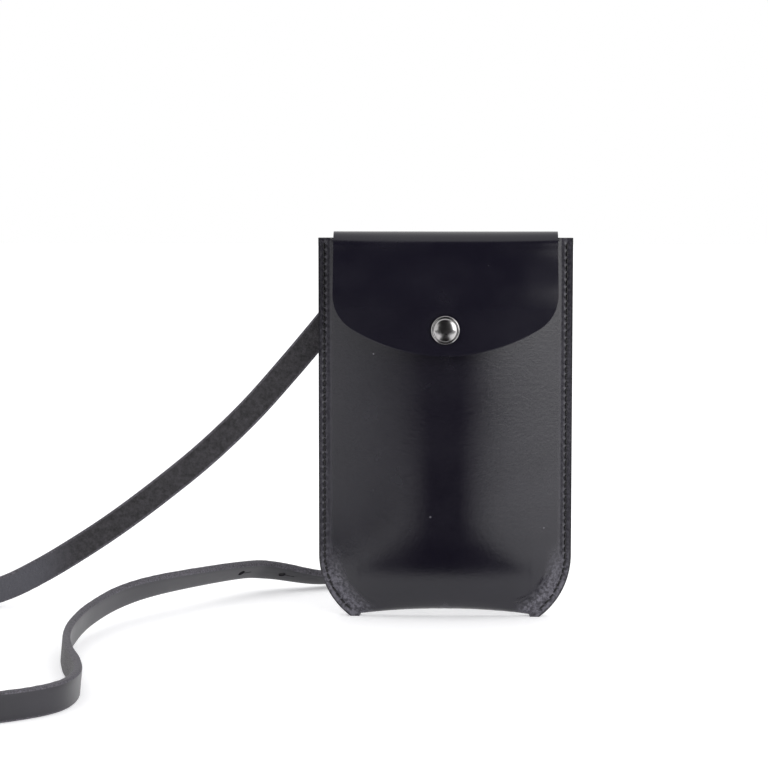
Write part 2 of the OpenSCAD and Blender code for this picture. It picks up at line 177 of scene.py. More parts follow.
def spread(tree, value, low, high, to_low, to_high, curve="LINEAR"):
    """Stretch a value from one range to another, and hold it at the ends."""
    stretched = add(tree, "ShaderNodeMapRange", {"Value": value, "From Min": low, "From Max": high,
                                                 "To Min": to_low, "To Max": to_high},
                    interpolation_type=curve)
    return stretched.outputs["Result"]


def mixed(tree, share, first, second):
    """Mix two colours, each a hex value or a socket, by a share."""
    pair = [colour(c) if isinstance(c, str) else c for c in (first, second)]
    return add(tree, "ShaderNodeMix", {0: share, 6: pair[0], 7: pair[1]}, data_type="RGBA").outputs[2]


# %% [markdown]
# ## Black bridle leather
# The case is vegetable-tanned cowhide, dyed black through, pressed smooth and waxed. It gives the eye a deep
# blue-black body, a broad soft sheen, a fine pebbled grain and a few specks of lint. Near the seams it is
# stretched and handled, so it is greyer and duller there, and it swells up a little between the stitches.
# The lower corners are painted lighter grey, partly for pulled grain and partly as a painted highlight where
# the leather curves round.
# The pattern reads Object coordinates in metres, so a noise of so many millimetres has a scale of 1000 over
# that size. The seam is found from the outline of the pouch: a straight side that runs into a round lower
# corner. The pebbles of real leather are finer than 0.9 mm, and are drawn that coarse so that they show.

# %% Outline values that the leather and the seam share
front_low, front_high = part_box("front_panel")
half_w = front_high.x / mm
pouch_top = front_high.z / mm
seam_y = front_high.y / mm
back_low, back_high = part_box("back_panel")
leather_t = (back_high.y - back_low.y) / mm
pocket_depth = (front_high.y - front_low.y) / mm - leather_t
corner_r = 35
corner_h = 28
corner_x = half_w - corner_r
stitch_inset = 2.6
stitch_pitch = 3.2
seam_r = corner_r - stitch_inset
seam_start = 3.4
seam_turn = asin((corner_h - seam_start) / seam_r)
seam_arc = seam_r * seam_turn
print("pouch half width", round(half_w, 1), "top", round(pouch_top, 1), "leather", round(leather_t, 2))


# %% Seam coordinates as shader nodes
def seam_coordinates(tree, place):
    """Distances in millimetres from the cut edge, along the seam and sideways past the corner's centre."""
    parts = add(tree, "ShaderNodeSeparateXYZ", {0: place}).outputs
    side = sum_of(tree, parts["X"], 0, "ABSOLUTE")
    across = sum_of(tree, sum_of(tree, side, 1000, "MULTIPLY"), corner_x, "SUBTRACT")
    height = sum_of(tree, parts["Z"], 1000, "MULTIPLY")
    below = sum_of(tree, sum_of(tree, corner_h, height, "SUBTRACT"), 0, "MAXIMUM")
    above = sum_of(tree, sum_of(tree, height, corner_h, "SUBTRACT"), 0, "MAXIMUM")
    square = sum_of(tree, sum_of(tree, across, 2, "POWER"), sum_of(tree, below, 2, "POWER"))
    inset = sum_of(tree, corner_r, sum_of(tree, square, 0.5, "POWER"), "SUBTRACT")
    turn = sum_of(tree, below, across, "ARCTAN2")
    along = sum_of(tree, sum_of(tree, above, seam_arc), sum_of(tree, turn, seam_r, "MULTIPLY"), "SUBTRACT")
    return inset, along, across


# %% Marks along the seam
mottle_mm = 1.43
lump_mm = 0.3
stitch_reach = 1.15


def seam_marks(tree, place, tint, dull, normal):
    """Add the dull band, the lighter lower corners (pulled grain and a painted highlight), the dark rim and
    the pillows between the stitches.

    The limits of inset and across are in millimetres.
    """
    inset, along, across = seam_coordinates(tree, place)
    band = spread(tree, inset, 3.6, 7.0, 1, 0, "SMOOTHSTEP")
    mottle = add(tree, "ShaderNodeTexNoise", {"Vector": place, "Scale": 1000 / mottle_mm, "Detail": 5.0,
                                              "Roughness": 0.7}).outputs[0]
    worn = sum_of(tree, band, spread(tree, mottle, 0.38, 0.64, 0.25, 1), "MULTIPLY")
    tint = mixed(tree, worn, tint, "#3b3941")
    dull = sum_of(tree, dull, sum_of(tree, band, 0.14, "MULTIPLY"))
    height = add(tree, "ShaderNodeSeparateXYZ", {0: place}).outputs["Z"]
    # The lower corners are painted lighter grey: partly pulled grain, partly a painted highlight where the
    # leather curves.
    corner = sum_of(tree, spread(tree, height, 14 * mm, 36 * mm, 1, 0, "SMOOTHSTEP"),
                    spread(tree, inset, 6, 12, 1, 0, "SMOOTHSTEP"), "MULTIPLY")
    corner = sum_of(tree, corner, spread(tree, across, 8, 15, 0, 1, "SMOOTHSTEP"), "MULTIPLY")
    pulled_grain_and_highlight = sum_of(tree, corner, spread(tree, mottle, 0.42, 0.6, 0.1, 1), "MULTIPLY")
    tint = mixed(tree, pulled_grain_and_highlight, tint, "#5d5b64")
    dull = sum_of(tree, dull, sum_of(tree, corner, 0.2, "MULTIPLY"))
    rim = spread(tree, inset, 0.35, 0.9, 1, 0, "SMOOTHSTEP")
    tint = mixed(tree, sum_of(tree, rim, 0.7, "MULTIPLY"), tint, "#111013")
    off = sum_of(tree, sum_of(tree, inset, stitch_inset, "SUBTRACT"), stitch_reach, "DIVIDE")
    near = sum_of(tree, sum_of(tree, 1, sum_of(tree, off, 2, "POWER"), "SUBTRACT"), 0, "MAXIMUM")
    wave = sum_of(tree, sum_of(tree, along, 2 * pi / stitch_pitch, "MULTIPLY"), 0, "COSINE")
    pillow = sum_of(tree, near, sum_of(tree, wave, -1, "MULTIPLY"), "MULTIPLY")
    pillow = sum_of(tree, pillow, sum_of(tree, mottle, 0.6, "MULTIPLY"), "SUBTRACT")
    bump = add(tree, "ShaderNodeBump", {"Height": pillow, "Strength": 0.6, "Distance": lump_mm * mm,
                                        "Normal": normal})
    return tint, dull, bump.outputs[0]


# %% Leather material
cloud_mm = 22.2
fine_mm = 0.625
lint_mm = 6.25
relief_mm = 0.04
leather_ior = 1.5


def leather_nodes(tree, shader, base, light, rough, grain_mm, seam):
    """Grain, colour and sheen of black leather; seam tells whether it has the marks along the seam."""
    place = add(tree, "ShaderNodeTexCoord").outputs["Object"]
    cloud = add(tree, "ShaderNodeTexNoise", {"Vector": place, "Scale": 1000 / cloud_mm,
                                             "Detail": 4.0}).outputs[0]
    fine = add(tree, "ShaderNodeTexNoise", {"Vector": place, "Scale": 1000 / fine_mm,
                                            "Detail": 3.0}).outputs[0]
    pebbles = add(tree, "ShaderNodeTexVoronoi", {"Vector": place, "Scale": 1000 / grain_mm,
                                                 "Smoothness": 0.6}, feature="SMOOTH_F1").outputs[0]
    tint = mixed(tree, spread(tree, cloud, 0.35, 0.7, 0, 1), base, light)
    dull = spread(tree, cloud, 0.3, 0.75, rough - 0.04, rough + 0.05)
    relief = sum_of(tree, sum_of(tree, pebbles, 0.8, "MULTIPLY"), sum_of(tree, fine, 0.5, "MULTIPLY"))
    lint = add(tree, "ShaderNodeTexVoronoi", {"Vector": place, "Scale": 1000 / lint_mm}).outputs
    rare = spread(tree, add(tree, "ShaderNodeSeparateXYZ", {0: lint["Color"]}).outputs["X"],
                  0.955, 0.96, 0, 1)
    speck = sum_of(tree, spread(tree, lint["Distance"], 0.03, 0.07, 0.5, 0), rare, "MULTIPLY")
    tint = mixed(tree, speck, tint, "#9a98a0")
    bump = add(tree, "ShaderNodeBump", {"Height": relief, "Strength": 0.2, "Distance": relief_mm * mm})
    normal = bump.outputs[0]
    if seam:
        tint, dull, normal = seam_marks(tree, place, tint, dull, normal)
    tree.links.new(tint, shader.inputs["Base Color"])
    tree.links.new(dull, shader.inputs["Roughness"])
    tree.links.new(normal, shader.inputs["Normal"])
    shader.inputs["IOR"].default_value = leather_ior
    shader.inputs["Specular IOR Level"].default_value = 0.5


case_leather, tree, shader = new_material("black bridle leather")
leather_nodes(tree, shader, "#110f19", "#16141e", rough=0.24, grain_mm=0.9, seam=True)
flap_leather, tree, shader = new_material("black bridle leather of the flap")
leather_nodes(tree, shader, "#110f1a", "#15131e", rough=0.24, grain_mm=0.9, seam=False)
print("leather nodes:", len(case_leather.node_tree.nodes))

# %% [markdown]
# ## Cut and burnished edges
# Where leather is cut, its fibres show. The maker rounds the edge, dyes it and rubs it with wax, so it is
# greyer than the grain side and has faint streaks. The flap's edge is only dyed. The flap's edge and the
# strap's edge are painted lighter grey, the flap's the lightest: partly their dyed fibres, and partly a
# painted highlight where the rounded edge catches the light.

# %% Edge materials
fibre_mm = 0.714


def edge_material(name, dark, light, rough):
    """A dyed cut edge: streaked fibres with a rubbed, waxy surface."""
    material, tree, shader = new_material(name)
    place = add(tree, "ShaderNodeTexCoord").outputs["Object"]
    fibre = add(tree, "ShaderNodeTexNoise", {"Vector": place, "Scale": 1000 / fibre_mm,
                                             "Detail": 5.0}).outputs[0]
    tree.links.new(mixed(tree, spread(tree, fibre, 0.35, 0.65, 0, 1), dark, light),
                   shader.inputs["Base Color"])
    bump = add(tree, "ShaderNodeBump", {"Height": fibre, "Strength": 0.4, "Distance": 0.2 * mm})
    tree.links.new(bump.outputs[0], shader.inputs["Normal"])
    shader.inputs["Roughness"].default_value = rough
    shader.inputs["IOR"].default_value = leather_ior
    return material


pouch_edge = edge_material("burnished leather edge", "#1c1b1f", "#2f2d33", rough=0.5)
# The flap's and the strap's edges are painted lighter: dyed fibres plus a painted highlight where the rounded
# edge catches the light.
flap_edge_with_highlight = edge_material("dyed flap edge with painted highlight", "#615f65", "#858389", rough=0.6)
strap_edge_with_highlight = edge_material("dyed strap edge with painted highlight", "#2c2a30", "#55525a", rough=0.6)
print("edge materials:", pouch_edge.name, flap_edge_with_highlight.name, strap_edge_with_highlight.name)

# %% [markdown]
# ## Strap leather, thread, metal
# The strap is cut from the same hide. Its grain side is smooth and waxed, and its flesh side is suede: short
# dyed fibres that scatter light. Towards its far end the flesh side is painted lighter grey, a painted sheen
# where the nap catches the light. The thread is waxed polyester, twisted from three strands: a diagonal wave
# of scale 700 repeats every 0.9 mm, as the twist does. The stud and the rivet are brass plated with nickel,
# and the pieces inside are plain zinc-plated steel.

# %% Strap, thread and metal materials
strap_grain, tree, shader = new_material("black strap leather")
leather_nodes(tree, shader, "#1b1a20", "#26242b", rough=0.4, grain_mm=0.8, seam=False)

nap_mm = 2.38
tuft_mm = 1.11
painted_sheen_from = -0.165
painted_sheen_to = -0.19
strap_flesh, tree, shader = new_material("black suede flesh side")
place = add(tree, "ShaderNodeTexCoord").outputs["Object"]
nap = add(tree, "ShaderNodeTexNoise", {"Vector": place, "Scale": 1000 / nap_mm, "Detail": 8.0,
                                       "Roughness": 0.75})
tuft = add(tree, "ShaderNodeTexVoronoi", {"Vector": place, "Scale": 1000 / tuft_mm}).outputs[0]
tint = mixed(tree, spread(tree, nap.outputs[0], 0.36, 0.68, 0, 1), "#131215", "#38353a")
# Past x = -165 mm the flesh side is painted lighter grey: a painted sheen where the nap catches the light.
along_x = add(tree, "ShaderNodeSeparateXYZ", {0: place}).outputs["X"]
painted_sheen = spread(tree, along_x, painted_sheen_from, painted_sheen_to, 0, 0.8, "SMOOTHSTEP")
tint = mixed(tree, painted_sheen, tint, "#4a4a51")
tree.links.new(tint, shader.inputs["Base Color"])
nap_relief = sum_of(tree, nap.outputs[0], sum_of(tree, tuft, 0.4, "MULTIPLY"))
bump = add(tree, "ShaderNodeBump", {"Height": nap_relief, "Strength": 0.8, "Distance": 0.7 * mm})
tree.links.new(bump.outputs[0], shader.inputs["Normal"])
shader.inputs["Roughness"].default_value = 0.85
shader.inputs["Sheen Weight"].default_value = 0.2
shader.inputs["Sheen Roughness"].default_value = 0.5

thread, tree, shader = new_material("waxed black thread")
place = add(tree, "ShaderNodeTexCoord").outputs["Object"]
twist = add(tree, "ShaderNodeTexWave", {"Vector": place, "Scale": 700.0, "Distortion": 0.6},
            bands_direction="DIAGONAL").outputs["Fac"]
tree.links.new(mixed(tree, twist, "#060507", "#141317"), shader.inputs["Base Color"])
bump = add(tree, "ShaderNodeBump", {"Height": twist, "Strength": 0.5, "Distance": 0.1 * mm})
tree.links.new(bump.outputs[0], shader.inputs["Normal"])
shader.inputs["Roughness"].default_value = 0.55


plate_cloud_mm = 4.55


def metal(name, tint_low, tint_high, rough, grit_mm):
    """Plated metal: faint clouds in its colour and fine rubbing marks in its polish."""
    material, tree, shader = new_material(name)
    place = add(tree, "ShaderNodeTexCoord").outputs["Object"]
    cloud = add(tree, "ShaderNodeTexNoise", {"Vector": place, "Scale": 1000 / plate_cloud_mm,
                                             "Detail": 3.0}).outputs[0]
    grit = add(tree, "ShaderNodeTexNoise", {"Vector": place, "Scale": 1000 / grit_mm, "Detail": 2.0})
    tree.links.new(mixed(tree, cloud, tint_low, tint_high), shader.inputs["Base Color"])
    tree.links.new(spread(tree, grit.outputs[0], 0.3, 0.7, rough * 0.9, rough * 1.1),
                   shader.inputs["Roughness"])
    bump = add(tree, "ShaderNodeBump", {"Height": grit.outputs[0], "Strength": 0.05, "Distance": 0.05 * mm})
    tree.links.new(bump.outputs[0], shader.inputs["Normal"])
    shader.inputs["Metallic"].default_value = 1
    return material


nickel = metal("polished nickel plate", "#aeacad", "#bab8b8", rough=0.22, grit_mm=0.2)
steel = metal("zinc-plated steel", "#8f9296", "#a9abae", rough=0.3, grit_mm=0.3)
print("metals:", nickel.name, steel.name)

# %% [markdown]
# ## The strap
# A strap is cut flat, so it bends easily out of its face and hardly at all along its edge. Laid down it
# stands on its edge in one wide loop. It is made as a sweep: a rounded rectangle is carried along the route
# of the CAD strap, and it turns so that its grain side faces where the route says. Each end runs on to its
# fastener and has a round tip, so the strap is one piece from tip to tip.

# %% Route of the strap, in metres: the middle of the strap, then where its grain side faces
strap_route = [
    ((-0.042, 0.0099, 0.1443), (0, 1, 0)), ((-0.0481, 0.0108, 0.1364), (0, 1, 0)),
    ((-0.0562, 0.0125, 0.1263), (0, 1, 0)), ((-0.0716, 0.0155, 0.1081), (0, 1, 0)),
    ((-0.0879, 0.0185, 0.0899), (0, 1, 0)), ((-0.1073, 0.0225, 0.0712), (0, 1, 0)),
    ((-0.1267, 0.027, 0.055), (0, 1, 0)), ((-0.1475, 0.0305, 0.0391), (0.1, 1, 0)),
    ((-0.1662, 0.0325, 0.0264), (0, 1, 0)), ((-0.1853, 0.03, 0.0151), (-0.2, 1, 0)),
    ((-0.2023, 0.022, 0.0079), (-0.45, 0.9, 0)), ((-0.222, 0.008, 0.0059), (-0.6, 0.8, 0)),
    ((-0.243, -0.0095, 0.0059), (-0.7, 0.7, 0)), ((-0.263, -0.03, 0.0059), (-0.8, 0.6, 0)),
    ((-0.279, -0.054, 0.0059), (-0.9, 0.45, 0)), ((-0.29, -0.082, 0.0059), (-1, 0.25, 0)),
    ((-0.2945, -0.11, 0.0059), (-1, 0, 0)), ((-0.292, -0.138, 0.0059), (-1, -0.3, 0)),
    ((-0.281, -0.1635, 0.0059), (-0.85, -0.55, 0)), ((-0.263, -0.184, 0.0059), (-0.6, -0.8, 0)),
    ((-0.241, -0.196, 0.0059), (-0.3, -1, 0)), ((-0.197, -0.2123, 0.0059), (-0.1, -1, 0)),
    ((-0.1711, -0.2093, 0.0059), (0.3, -1, 0)), ((-0.1536, -0.2002, 0.0059), (0.6, -0.9, -0.1)),
    ((-0.142, -0.186, 0.0059), (0.9, -0.4, -0.1)), ((-0.1392, -0.1658, 0.0059), (1, 0.1, -0.1)),
    ((-0.1431, -0.143, 0.0059), (1, 0.25, -0.1)), ((-0.1495, -0.1203, 0.006), (1, 0.15, -0.1)),
    ((-0.154, -0.0955, 0.0063), (1, 0, -0.1)), ((-0.155, -0.0705, 0.0072), (1, -0.1, -0.15)),
    ((-0.1516, -0.0433, 0.0093), (0.9, -0.3, -0.3)), ((-0.1418, -0.0156, 0.012), (0.8, -0.5, -0.45)),
    ((-0.1253, 0.0094, 0.0134), (0.7, -0.6, -0.7)), ((-0.0952, 0.0489, 0.0126), (0.6, -0.65, -0.95)),
    ((-0.0813, 0.0635, 0.0102), (0.5, -0.65, -1)), ((-0.0583, 0.074, 0.005), (0.3, -0.45, -0.95)),
    ((-0.036, 0.084, 0.0049), (0.15, -0.4, -1)), ((-0.01, 0.086, 0.006), (0.2, -0.3, -1)),
    ((0.014, 0.076, 0.0145), (0.6, 0, -0.9)), ((0.0275, 0.058, 0.034), (0.9, 0.2, -0.4)),
    ((0.0335, 0.04, 0.06), (0.8, 0.6, 0)), ((0.0345, 0.025, 0.087), (0.5, 0.9, 0.2)),
    ((0.0335, 0.0145, 0.113), (0.2, 1, 0.1)), ((0.033, 0.0109, 0.138), (0, 1, 0)),
]
print(len(strap_route), "route points")


# %% Smooth curve through the route
def spline(a, b, c, d, t):
    """The point at t between b and c on a curve that runs through a, b, c and d."""
    return 0.5 * (2 * b + (c - a) * t + (2 * a - 5 * b + 4 * c - d) * t * t
                  + (3 * b - a - 3 * c + d) * t ** 3)


def smooth_line(points, steps):
    """Fill a line of vectors with a smooth curve, with a number of steps between neighbours."""
    last = len(points) - 1
    line = []
    for i in range(last):
        four = [points[max(0, i - 1)], points[i], points[i + 1], points[min(last, i + 2)]]
        line += [spline(*four, step / steps) for step in range(steps)]
    return line + [points[last]]


strap_w = 11.5 * mm
strap_t = 3.2 * mm
tip_r = strap_w / 2
left_stud = (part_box("rivet_cap")[0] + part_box("rivet_cap")[1]) / 2
right_stud = (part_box("collar_stud")[0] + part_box("collar_stud")[1]) / 2
left_start = Vector(strap_route[0][0])
right_start = Vector(strap_route[-1][0])
tip_rise = 1.4 * tip_r
steps_between = 14
end_rings = 26


def end_tip(stud, start):
    """The end of the strap: past the fastener, in line with the free strap, on the strap's own level."""
    level = Vector((stud.x, start.y, stud.z))
    return level + (level - start).normalized() * tip_rise


route_points = [Vector(point) for point, face in strap_route]
route_faces = [Vector(face) for point, face in strap_route]
middle_line = smooth_line(route_points, steps_between)
face_line = smooth_line(route_faces, steps_between)


def straight(start, end, rings):
    """Points on a straight end, closer together towards its tip, where the strap is round."""
    return [start + (end - start) * sin(pi / 2 * i / rings) for i in range(1, rings + 1)]


left_end = straight(left_start, end_tip(left_stud, left_start), end_rings)
right_end = straight(right_start, end_tip(right_stud, right_start), end_rings)
middle_line = left_end[::-1] + middle_line + right_end
face_line = [route_faces[0]] * len(left_end) + face_line + [route_faces[-1]] * len(right_end)
run = [0.0]
for here, there in zip(middle_line, middle_line[1:]):
    run.append(run[-1] + (there - here).length)
strap_length = run[-1]
print("strap", round(strap_length, 3), "m from tip to tip,", len(middle_line), "rings")

# %% Section of the strap
edge_round = 0.9 * mm
least_flat = 0.05 * mm
least_half_w = 0.3 * mm


def strap_section(half_width):
    """A rounded rectangle, point by point, as (across, towards the grain side)."""
    flat = max(half_width - edge_round, least_flat)
    rise = strap_t / 2 - edge_round
    points = []
    for turn, sign_x, sign_y in ((0, 1, 1), (90, -1, 1), (180, -1, -1), (270, 1, -1)):
        for step in range(4):
            angle = radians(turn + 30 * step)
            points.append((sign_x * flat + edge_round * cos(angle), sign_y * rise + edge_round * sin(angle)))
        if turn in (0, 180):
            points += [(sign_x * flat * share, sign_y * strap_t / 2) for share in (0.6, 0.2, -0.2, -0.6)]
    return points


def tip_half_width(distance):
    """Half the strap's width at a distance from its tip: a half circle, then straight."""
    if distance >= tip_r:
        return tip_r
    return sqrt(max(tip_r ** 2 - (tip_r - distance) ** 2, least_half_w ** 2))


# %% Sweep the section along the strap
# The flesh side's edges are frayed by a noise whose lumps are 2.4 mm long. No point goes through the table.
fray_height = 0.22 * mm
fray_lift = 0.3
lumps_along = 420
lumps_across = 300
table_gap = 0.02 * mm
grain_strip = range(3, 8)
flesh_strip = range(15, 20)
ring_size = len(strap_section(tip_r))
strap_points = []
for i, centre in enumerate(middle_line):
    ahead = middle_line[min(i + 1, len(middle_line) - 1)]
    behind = middle_line[max(i - 1, 0)]
    along = (ahead - behind).normalized()
    wide = along.cross(face_line[i]).normalized()
    thick = wide.cross(along)
    reach = min(run[i], strap_length - run[i])
    for across, up in strap_section(tip_half_width(reach)):
        fray = 0
        if up < -strap_t / 4:
            fray = fray_height * noise.noise(Vector((run[i] * lumps_along, across * lumps_across, 1.7)))
        spread_out = across + fray * (1 if across > 0 else -1)
        point = centre + wide * spread_out + thick * (up + fray * fray_lift)
        point.z = max(point.z, table_gap)
        strap_points.append(point)
strap_faces = []
for i in range(len(middle_line) - 1):
    for k in range(ring_size):
        a = i * ring_size + k
        b = i * ring_size + (k + 1) % ring_size
        strap_faces.append((a, b, b + ring_size, a + ring_size))
strap_faces.append(tuple(range(ring_size))[::-1])
strap_faces.append(tuple((len(middle_line) - 1) * ring_size + k for k in range(ring_size)))
strap_mesh = bpy.data.meshes.new("long_strap")
strap_mesh.from_pydata(strap_points, [], strap_faces)
strap = bpy.data.objects.new("long_strap", strap_mesh)
bpy.context.scene.collection.objects.link(strap)
edit(strap, (bpy.ops.mesh.normals_make_consistent, {"inside": False}))
for material in (strap_grain, strap_flesh, strap_edge_with_highlight):
    strap_mesh.materials.append(material)
for face in strap_mesh.polygons[:-2]:
    k = face.index % ring_size
    face.material_index = 0 if k in grain_strip else 1 if k in flesh_strip else 2
report(strap)

# %% [markdown]
# ## Holes of the strap
# The right end buttons over a collar stud: a round hole with a short slit, so that the leather opens over the
# ball. A row of such holes lets the strap be made shorter. A hole is cut with a Boolean modifier, by a round
# rod and a thin blade that are removed afterwards.

hole_d = 3.4 * mm
slit_length = 6.5 * mm
hole_count = 5
hole_pitch = 26 * mm
slit_w = 0.5 * mm
cut_depth = 12 * mm
first_hole_from_tip = 0.297
first_hole = strap_length - first_hole_from_tip


def place_at(distance):
    """The middle of the strap, its direction and its outward face at a distance along it."""
    i = min(range(len(run)), key=lambda k: abs(run[k] - distance))
    along = (middle_line[i + 1] - middle_line[i - 1]).normalized()
    wide = along.cross(face_line[i]).normalized()
    return middle_line[i], along, wide, wide.cross(along)


def cutter(distance):
    """A rod and a blade through the strap at a distance along it, as two separate pieces."""
    centre, along, wide, thick = place_at(distance)
    turn = Matrix((wide, along, thick)).transposed().to_4x4()
    bpy.ops.mesh.primitive_cylinder_add(vertices=24, radius=hole_d / 2, depth=cut_depth)
    rod = bpy.context.object
    bpy.ops.mesh.primitive_cube_add(size=1)
    blade = bpy.context.object
    blade.data.transform(Matrix.Diagonal((slit_w, slit_length, cut_depth, 1)))
    blade.data.transform(Matrix.Translation((0, slit_length / 2, 0)))
    for tool in (rod, blade):
        tool.data.transform(turn)
        tool.data.transform(Matrix.Translation(centre))
    return rod, blade


for i in range(hole_count):
    for tool in cutter(first_hole + i * hole_pitch):
        modify(strap, "BOOLEAN", operation="DIFFERENCE", object=tool, solver="EXACT")
        bpy.data.objects.remove(tool)
smooth(strap, 35)
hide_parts("strap", "strap_end_left", "strap_end_right")
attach(strap, "pouch")
report(strap)

# %% [markdown]
# ## Shape of the front
# The front was pressed wet over a wooden block, so it stands out as one smooth dome with a flat sewn edge
# round it. The dome's depth at a point is a product of three curves: from side to side, up from the bottom
# fold, and in towards the mouth. The same curves place the flap, because the flap lies on the dome.

# %% Curves of the dome, in millimetres from the sewn seam's plane
flange_w = 5
plateau_w = 12
side_fullness = 1.7
belly_h = 48
belly_fullness = 2.5
groove_depth = 0.32
groove_w = 0.8
mouth_share = 0.6
foot_in = 38
foot_out = corner_x + sqrt(corner_r ** 2 - corner_h ** 2)
foot_step = 0.9
base_arch = 2.5
step_run = 0.6
arch_a = foot_in - step_run
arch_r = (arch_a ** 2 + base_arch ** 2) / (2 * base_arch)
snap_low, snap_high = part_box("snap_cap")
snap_z = (snap_low.z + snap_high.z) / 2 / mm
cap_r = (snap_high.z - snap_low.z) / 2 / mm
seat_margin = 2.5
snap_seat = cap_r + seat_margin
taper_z = snap_z + snap_seat
hinge_z = frame["joints"][0]["pos_m"][2] / mm


def clamp(value):
    """Hold a value between 0 and 1."""
    return max(0.0, min(1.0, value))


def ease(value):
    """Go smoothly from 0 to 1."""
    share = clamp(value)
    return share * share * (3 - 2 * share)


def hill(value, width):
    """A smooth hill of height 1, this wide, around 0."""
    return exp(-(value / width) ** 2)


def side_x(z):
    """Half the pouch's width at a height."""
    return half_w if z >= corner_h else corner_x + sqrt(corner_r ** 2 - (corner_h - z) ** 2)


def base_z(x):
    """Lowest point of the pouch at a distance from its middle: the bottom fold, a foot, then the corner."""
    a = abs(x)
    if a > foot_out:
        return corner_h - sqrt(max(0, corner_r ** 2 - (a - corner_x) ** 2))
    if a >= foot_in:
        return 0
    if a > arch_a:
        return foot_step * (foot_in - a) / step_run
    return foot_step + sqrt(arch_r ** 2 - a * a) - sqrt(arch_r ** 2 - arch_a ** 2)


def rise(x, z):
    """Share of the dome's full depth from side to side."""
    flange = flange_w if z >= corner_h else flange_w * corner_r / sqrt(corner_r ** 2 - (corner_h - z) ** 2)
    full = side_x(z) - flange
    return 1 - (1 - clamp((full - abs(x)) / (full - plateau_w / 2))) ** side_fullness


def neck(z):
    """Share that is left of the depth as the dome draws in to the mouth."""
    return 1 - (1 - mouth_share) * ease((z - taper_z) / (pouch_top - taper_z))


def belly(rise_above):
    """Share of the depth at a height over the bottom fold."""
    return sqrt(1 - (1 - clamp(rise_above / belly_h)) ** belly_fullness)


def edge_inset(x, z):
    """Distance from the cut edge of the sewn sides."""
    return corner_r - hypot(abs(x) - corner_x, max(corner_h - z, 0))


# %% Creases of the lower corners, in millimetres and degrees round each corner
crease_low_r = 26.2
crease_high_r = 23.6
wrinkle_r = 25.5
mark_top = corner_h + 12


def corner_marks(x, z):
    """Marks of stretching in the lower corners: one crisp crease on the right, soft wrinkles on the left."""
    if z > mark_top:
        return 0
    across = abs(x) - corner_x
    below = corner_h - z
    radius = hypot(across, below)
    turn = degrees(atan2(below, max(across, 0.01)))
    if x > 0:
        crease_r = crease_low_r - (crease_low_r - crease_high_r) * ease((turn - 38) / 26)
        span = ease((turn - 14) / 12) * (1 - ease((turn - 60) / 5))
        ridge = 0.8 * hill(radius - crease_r + 0.8, 0.9) if radius < crease_r else 0.36
        valley = 1.5 * exp(-(radius - crease_r) / 2.6) if radius >= crease_r else 0
        return span * (ridge - valley)
    span = ease((turn - 24) / 16) * (1 - ease((turn - 58) / 10)) * hill(radius - wrinkle_r, 4.5)
    folds = noise.noise(Vector((radius * 0.55, turn * 0.045, 3.1)))
    return span * (0.55 * folds - 0.25)


# %% The front's outer face
def front_out(x, z):
    """How far the front's outer face stands in front of the sewn seam."""
    above = z - base_z(x)
    hem = 1 if abs(x) >= foot_in else sqrt(1 - (1 - clamp(above / leather_t)) ** 2)
    out = leather_t * hem + pocket_depth * rise(x, z) * neck(z) * belly(above)
    inset = edge_inset(x, z)
    out -= groove_depth * hill(inset - stitch_inset, groove_w)
    return out + corner_marks(x, z)


print("dome depth at the middle", round(front_out(0, 80), 2), "mm, at the mouth", round(front_out(0, 150), 2))

# %% [markdown]
# ## Front leather
# A grid is added and its points are moved, column by column, to where the dome says: the columns crowd into
# the round corners, and the rows crowd to the bottom fold. Solidify then gives the leather its thickness on
# the inner side, and Bevel rounds the cut edges, as a maker does with an edge tool.

# %% Make the front leather
def shaped_grid(name, columns, rows, place):
    """Add a flat grid and move each of its points to place(column, row), given in millimetres."""
    bpy.ops.object.select_all(action="DESELECT")
    bpy.ops.mesh.primitive_grid_add(x_subdivisions=columns, y_subdivisions=rows, size=1)
    piece = named(bpy.context.object, name)
    for point in piece.data.vertices:
        column = round((point.co.x + 0.5) * columns)
        row = round((point.co.y + 0.5) * rows)
        point.co = place(column, row) * mm
    return piece


def thicken(piece, materials, bevel):
    """Give a sheet its thickness inwards, with a second material on its rounded cut edges."""
    for material in materials:
        piece.data.materials.append(material)
    modify(piece, "SOLIDIFY", thickness=leather_t * mm, offset=-1, use_even_offset=False,
           material_offset_rim=1)
    modify(piece, "BEVEL", width=bevel * mm, segments=2, limit_method="ANGLE", angle_limit=radians(58),
           use_clamp_overlap=True, material=1)
    smooth(piece, 45)


arch_steps = 34
corner_steps = 36
corner_turn = acos(corner_h / corner_r)
half_columns = [arch_a * i / arch_steps for i in range(arch_steps)]
half_columns += [arch_a, foot_in, foot_in + 1.3, foot_in + 2.7]
half_columns += [corner_x + corner_r * sin(corner_turn + (pi / 2 - corner_turn) * i / corner_steps)
                 for i in range(corner_steps + 1)]
front_columns = [-x for x in half_columns[:0:-1]] + half_columns
front_rows = 132
row_crowding = 1.5
ear_h = 10
ear_run = 9
ear_round = 2.5
flap_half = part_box("flap")[1].x / mm


def mouth_z(x):
    """Top edge of the front: cut down between the two ears."""
    return pouch_top - ear_h * ease((flap_half + ear_round - abs(x)) / ear_run)


def front_place(column, row):
    """A point of the front's outer face, row by row from the bottom fold up to the mouth."""
    x = front_columns[column]
    low = base_z(x)
    z = low + (mouth_z(x) - low) * (row / front_rows) ** row_crowding
    return Vector((x, seam_y - front_out(x, z), z))


front = shaped_grid("front_leather", len(front_columns) - 1, front_rows, front_place)
thicken(front, (case_leather, pouch_edge), bevel=0.45)
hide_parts("front_panel")
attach(front, "pouch")
report(front)

# %% [markdown]
# ## Back leather
# The back is flat, so its CAD node already has the right outline. It is copied, its loose triangles are
# merged into clean faces, and its edges are rounded: more along the bottom fold, where the leather bends
# round into the front, and less along the cut edges.

